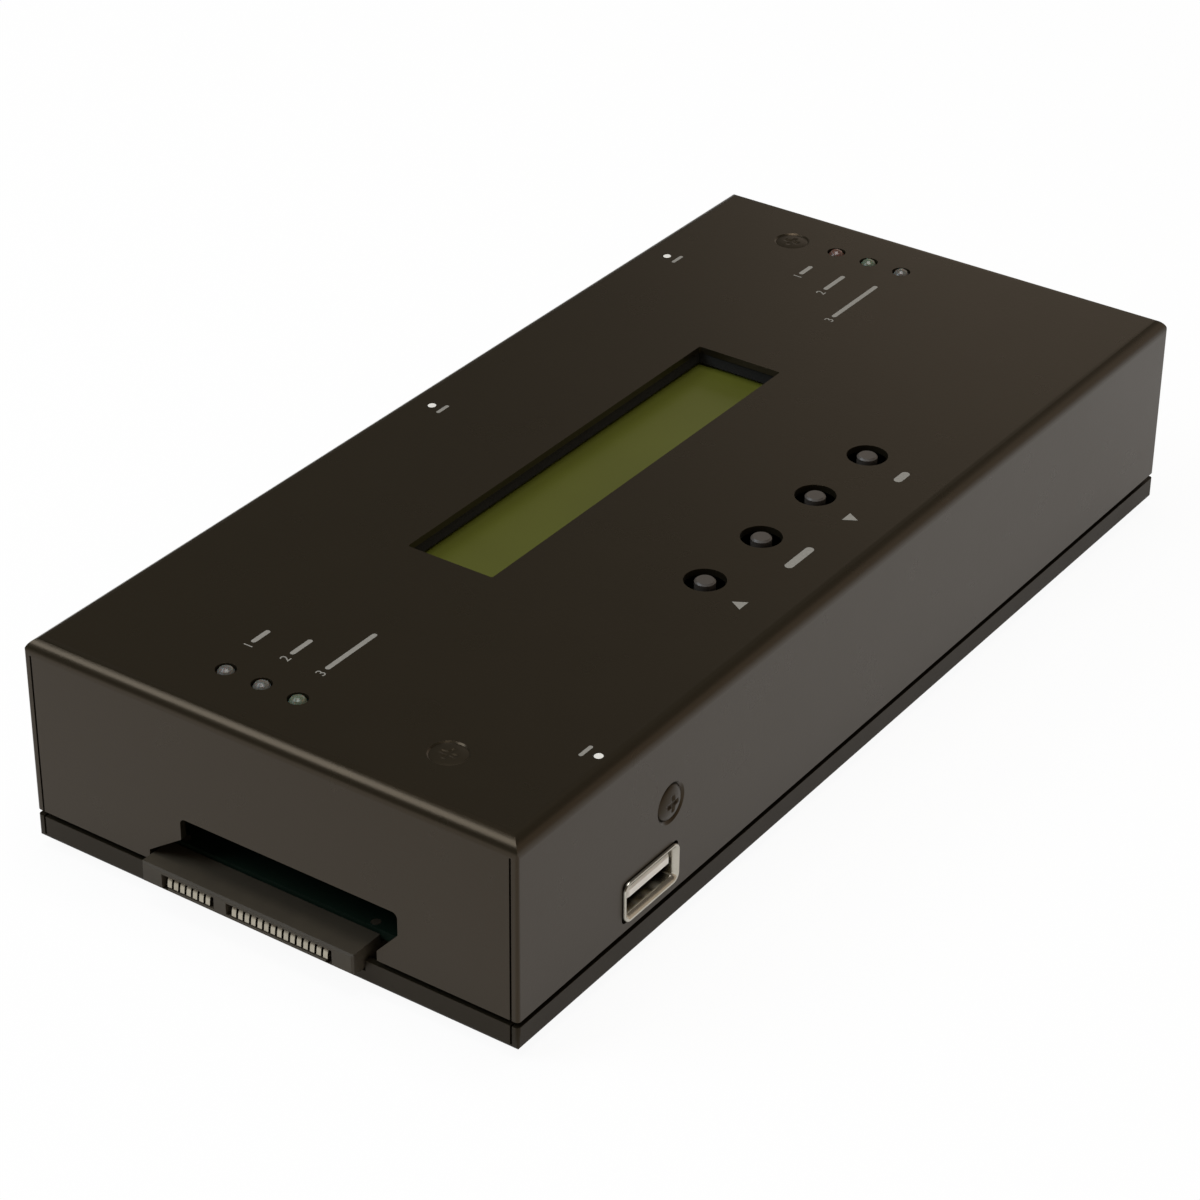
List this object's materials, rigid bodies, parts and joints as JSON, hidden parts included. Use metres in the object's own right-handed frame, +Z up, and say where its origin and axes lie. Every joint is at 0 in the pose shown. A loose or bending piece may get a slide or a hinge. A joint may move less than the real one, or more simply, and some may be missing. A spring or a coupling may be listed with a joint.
{
  "type": "drive duplicator",
  "caption": "Flat black steel box that copies drives: SATA receptacle at each end, USB ports, character display window, round keys and indicator lamps on top.",
  "frame": {"origin": "middle of the case, on the surface that the rubber feet stand on", "axes": "+X from the source end to the target end, +Z up, -Y the front long side with the source USB port"},
  "size_m": [0.205, 0.0955, 0.0394],
  "materials": {
    "black_lcp": "moulded black polymer, satin",
    "black_nylon": "moulded black nylon",
    "black_zinc_screw": "black zinc, satin",
    "board_laminate": "green solder mask on glass epoxy laminate",
    "can_aluminium": "drawn aluminium can",
    "chip_epoxy": "moulded epoxy",
    "ferrite": "pressed ferrite",
    "foot_rubber": "matt black rubber",
    "gasket_foam": "black foam",
    "gold_contact": "gold flash over nickel",
    "key_plastic": "moulded dark grey plunger",
    "lamp_epoxy": "diffused clear epoxy",
    "lamp_epoxy_green": "diffused pale green epoxy",
    "lamp_epoxy_red": "diffused red epoxy",
    "lcd_film": "unlit yellow-green display glass under its film",
    "nickel_brass": "nickel plated brass",
    "nickel_shell": "nickel plated, semi-bright",
    "powder_steel": "black powder coat, satin, fine texture",
    "rocker_plastic": "moulded black plastic, glossy",
    "tinned_lead": "bright tinned metal",
    "white_acrylic": "moulded light guide",
    "white_nylon": "moulded white nylon",
    "zinc_steel": "zinc plated steel"
  },
  "bodies": {
    "case": {"base_tray": "powder_steel", "board_spacers": "nickel_brass", "board_standoffs": "zinc_steel", "bridge_chips": "chip_epoxy", "buzzer": "black_nylon", "clock_crystal": "zinc_steel", "cover_pillars": "zinc_steel", "cover_side_screws": "black_zinc_screw", "cover_top_screws": "black_zinc_screw", "dc_jack_body": "black_nylon", "dc_jack_pin": "nickel_shell", "dc_jack_spring": "tinned_lead", "display_gasket": "gasket_foam", "filter_capacitors": "can_aluminium", "header_insulators": "black_nylon", "key_bodies": "black_nylon", "key_frames": "zinc_steel", "lamp_leads": "tinned_lead", "lamp_spacers": "white_nylon", "lcd_backlight": "white_acrylic", "lcd_board": "board_laminate", "lcd_frame": "zinc_steel", "lcd_glass": "lcd_film", "lcd_screws": "zinc_steel", "lcd_spacers": "white_nylon", "link_pins": "gold_contact", "link_socket": "black_nylon", "logic_chips": "chip_epoxy", "main_board": "board_laminate", "panel_board": "board_laminate", "panel_board_screws": "zinc_steel", "power_inductors": "ferrite", "power_switch_housing": "black_nylon", "power_switch_terminals": "tinned_lead", "rubber_feet": "foot_rubber", "source_busy_lamp": "lamp_epoxy", "source_error_lamp": "lamp_epoxy_green", "source_power_lamp": "lamp_epoxy", "source_sata_contacts": "gold_contact", "source_sata_housing": "black_lcp", "source_usb_contacts": "gold_contact", "source_usb_shell": "nickel_shell", "source_usb_tongue": "white_nylon", "tab_nuts": "zinc_steel", "target_busy_lamp": "lamp_epoxy_green", "target_error_lamp": "lamp_epoxy", "target_power_lamp": "lamp_epoxy_red", "target_sata_contacts": "gold_contact", "target_sata_housing": "black_lcp", "target_usb_contacts": "gold_contact", "target_usb_shell": "nickel_shell", "target_usb_tongue": "white_nylon", "top_cover": "powder_steel", "voltage_regulators": "chip_epoxy"},
    "key_1": {"key_plunger_1": "key_plastic"},
    "key_2": {"key_plunger_2": "key_plastic"},
    "key_3": {"key_plunger_3": "key_plastic"},
    "key_4": {"key_plunger_4": "key_plastic"},
    "rocker": {"power_rocker": "rocker_plastic"}
  },
  "joints": [
    {"name": "key_1_press", "type": "slide", "parent": "case", "child": "key_1", "axis": [0, 0, -1], "range_m": [0, 0.00025], "stiffness_N_per_m": 2500, "springref_m": -0.0001},
    {"name": "key_2_press", "type": "slide", "parent": "case", "child": "key_2", "axis": [0, 0, -1], "range_m": [0, 0.00025], "stiffness_N_per_m": 2500, "springref_m": -0.0001},
    {"name": "key_3_press", "type": "slide", "parent": "case", "child": "key_3", "axis": [0, 0, -1], "range_m": [0, 0.00025], "stiffness_N_per_m": 2500, "springref_m": -0.0001},
    {"name": "key_4_press", "type": "slide", "parent": "case", "child": "key_4", "axis": [0, 0, -1], "range_m": [0, 0.00025], "stiffness_N_per_m": 2500, "springref_m": -0.0001},
    {"name": "power_rocker_tilt", "type": "hinge", "parent": "case", "child": "rocker", "pos_m": [0.0085, 0.0444, 0.0136], "axis": [0, 0, 1], "range_deg": [-16, 0]}
  ]
}
